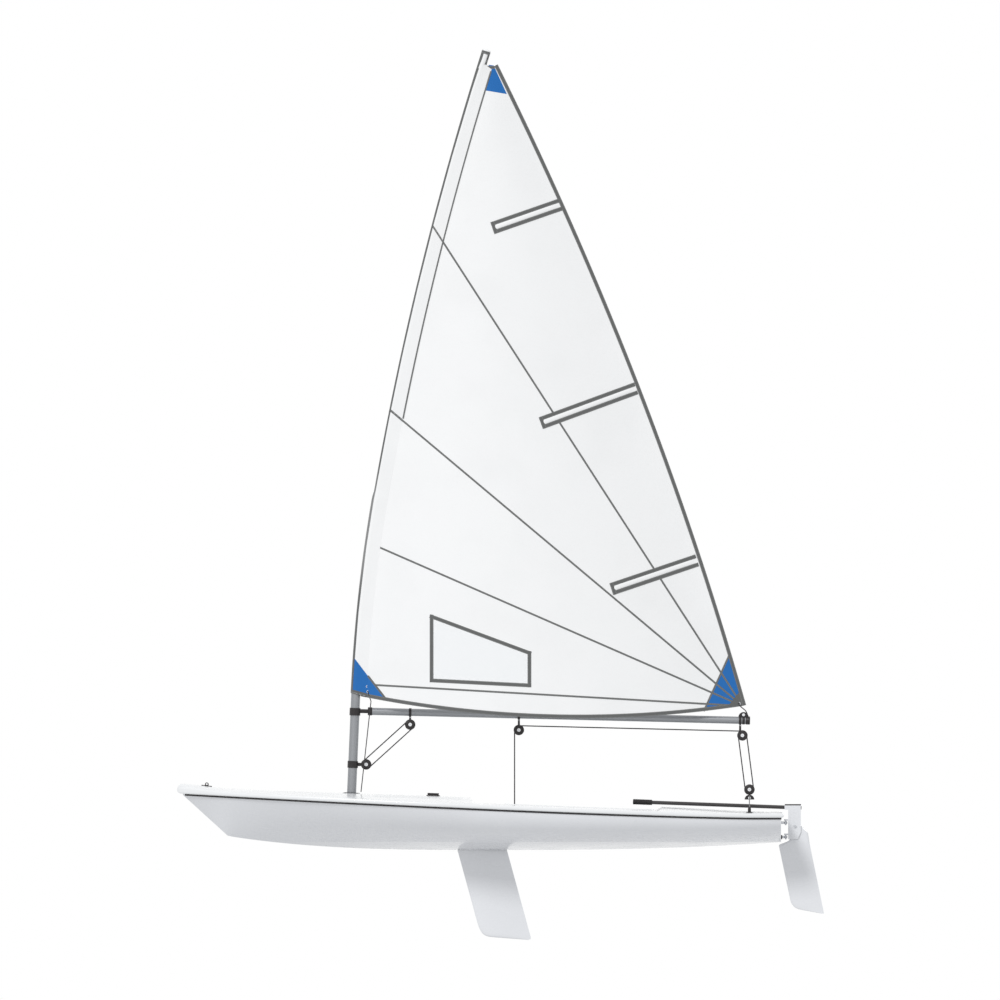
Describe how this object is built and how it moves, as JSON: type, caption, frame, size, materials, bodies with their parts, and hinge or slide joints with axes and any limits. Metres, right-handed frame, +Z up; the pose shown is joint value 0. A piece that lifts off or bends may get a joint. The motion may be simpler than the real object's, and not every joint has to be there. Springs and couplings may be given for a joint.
{
  "type": "sailing dinghy",
  "caption": "Single-handed sailing dinghy with an unstayed bending mast, sleeve-luffed sail, boom, lifting daggerboard and a lift-up rudder with tiller.",
  "frame": {"origin": "on the centreline at the unladen waterline, amidships", "axes": "+X to the bow, +Y to port, +Z up"},
  "size_m": [4.528, 1.3698, 6.2366],
  "materials": {
    "gelcoat_hull": "gloss",
    "gelcoat_deck": "gloss",
    "moulded_grey": "satin",
    "black_fitting": "satin",
    "webbing": "woven",
    "rope": "braided",
    "stainless": "brushed",
    "spar_alloy": "anodised",
    "sailcloth": "woven",
    "clear_film": "clear",
    "batten_grp": "satin",
    "gelcoat_foil": "gloss"
  },
  "bodies": {
    "hull": {"hull": "gelcoat_hull", "deck": "gelcoat_deck", "daggerboard_case": "gelcoat_deck", "mast_step": "moulded_grey", "bow_eye": "black_fitting", "deck_cleats": "black_fitting", "hiking_strap": "webbing", "ratchet_block": "black_fitting", "traveller_fairleads": "black_fitting", "traveller_line": "rope", "traveller_block": "black_fitting", "gudgeons": "stainless", "drain_plug": "black_fitting"},
    "rig": {"lower_mast": "spar_alloy", "upper_mast": "spar_alloy", "mast_collar": "black_fitting", "mast_cap": "black_fitting", "gooseneck": "black_fitting", "boom": "spar_alloy", "boom_caps": "black_fitting", "vang_tang": "black_fitting", "vang_lower_block": "black_fitting", "vang_upper_block": "black_fitting", "sheet_mid_block": "black_fitting", "sheet_end_block": "black_fitting", "outhaul_eye": "black_fitting", "sail": "sailcloth", "sail_sleeve": "sailcloth", "sail_window": "clear_film", "battens": "batten_grp"},
    "rudder_head": {"rudder_head": "gelcoat_hull", "pintles": "stainless", "tiller": "black_fitting", "tiller_grip": "black_fitting", "blade_bolt": "stainless"},
    "rudder_blade": {"rudder_blade": "gelcoat_foil"},
    "daggerboard": {"daggerboard": "gelcoat_foil", "daggerboard_stop": "moulded_grey"}
  },
  "joints": [
    {"name": "rig_swing", "type": "hinge", "parent": "hull", "child": "rig", "pos_m": [0.899, 0, 0.34], "axis": [-0.0419, 0, 0.9991], "range_deg": [-90, 90]},
    {"name": "rudder_steer", "type": "hinge", "parent": "hull", "child": "rudder_head", "pos_m": [-2.14, 0, 0.1], "axis": [0, 0, 1], "range_deg": [-45, 45]},
    {"name": "blade_lift", "type": "hinge", "parent": "rudder_head", "child": "rudder_blade", "pos_m": [-2.205, 0, 0.11], "axis": [0, 1, 0], "range_deg": [0, 100]},
    {"name": "daggerboard_lift", "type": "slide", "parent": "hull", "child": "daggerboard", "axis": [0.2639, 0, 0.9646], "range_m": [0, 0.42]}
  ]
}
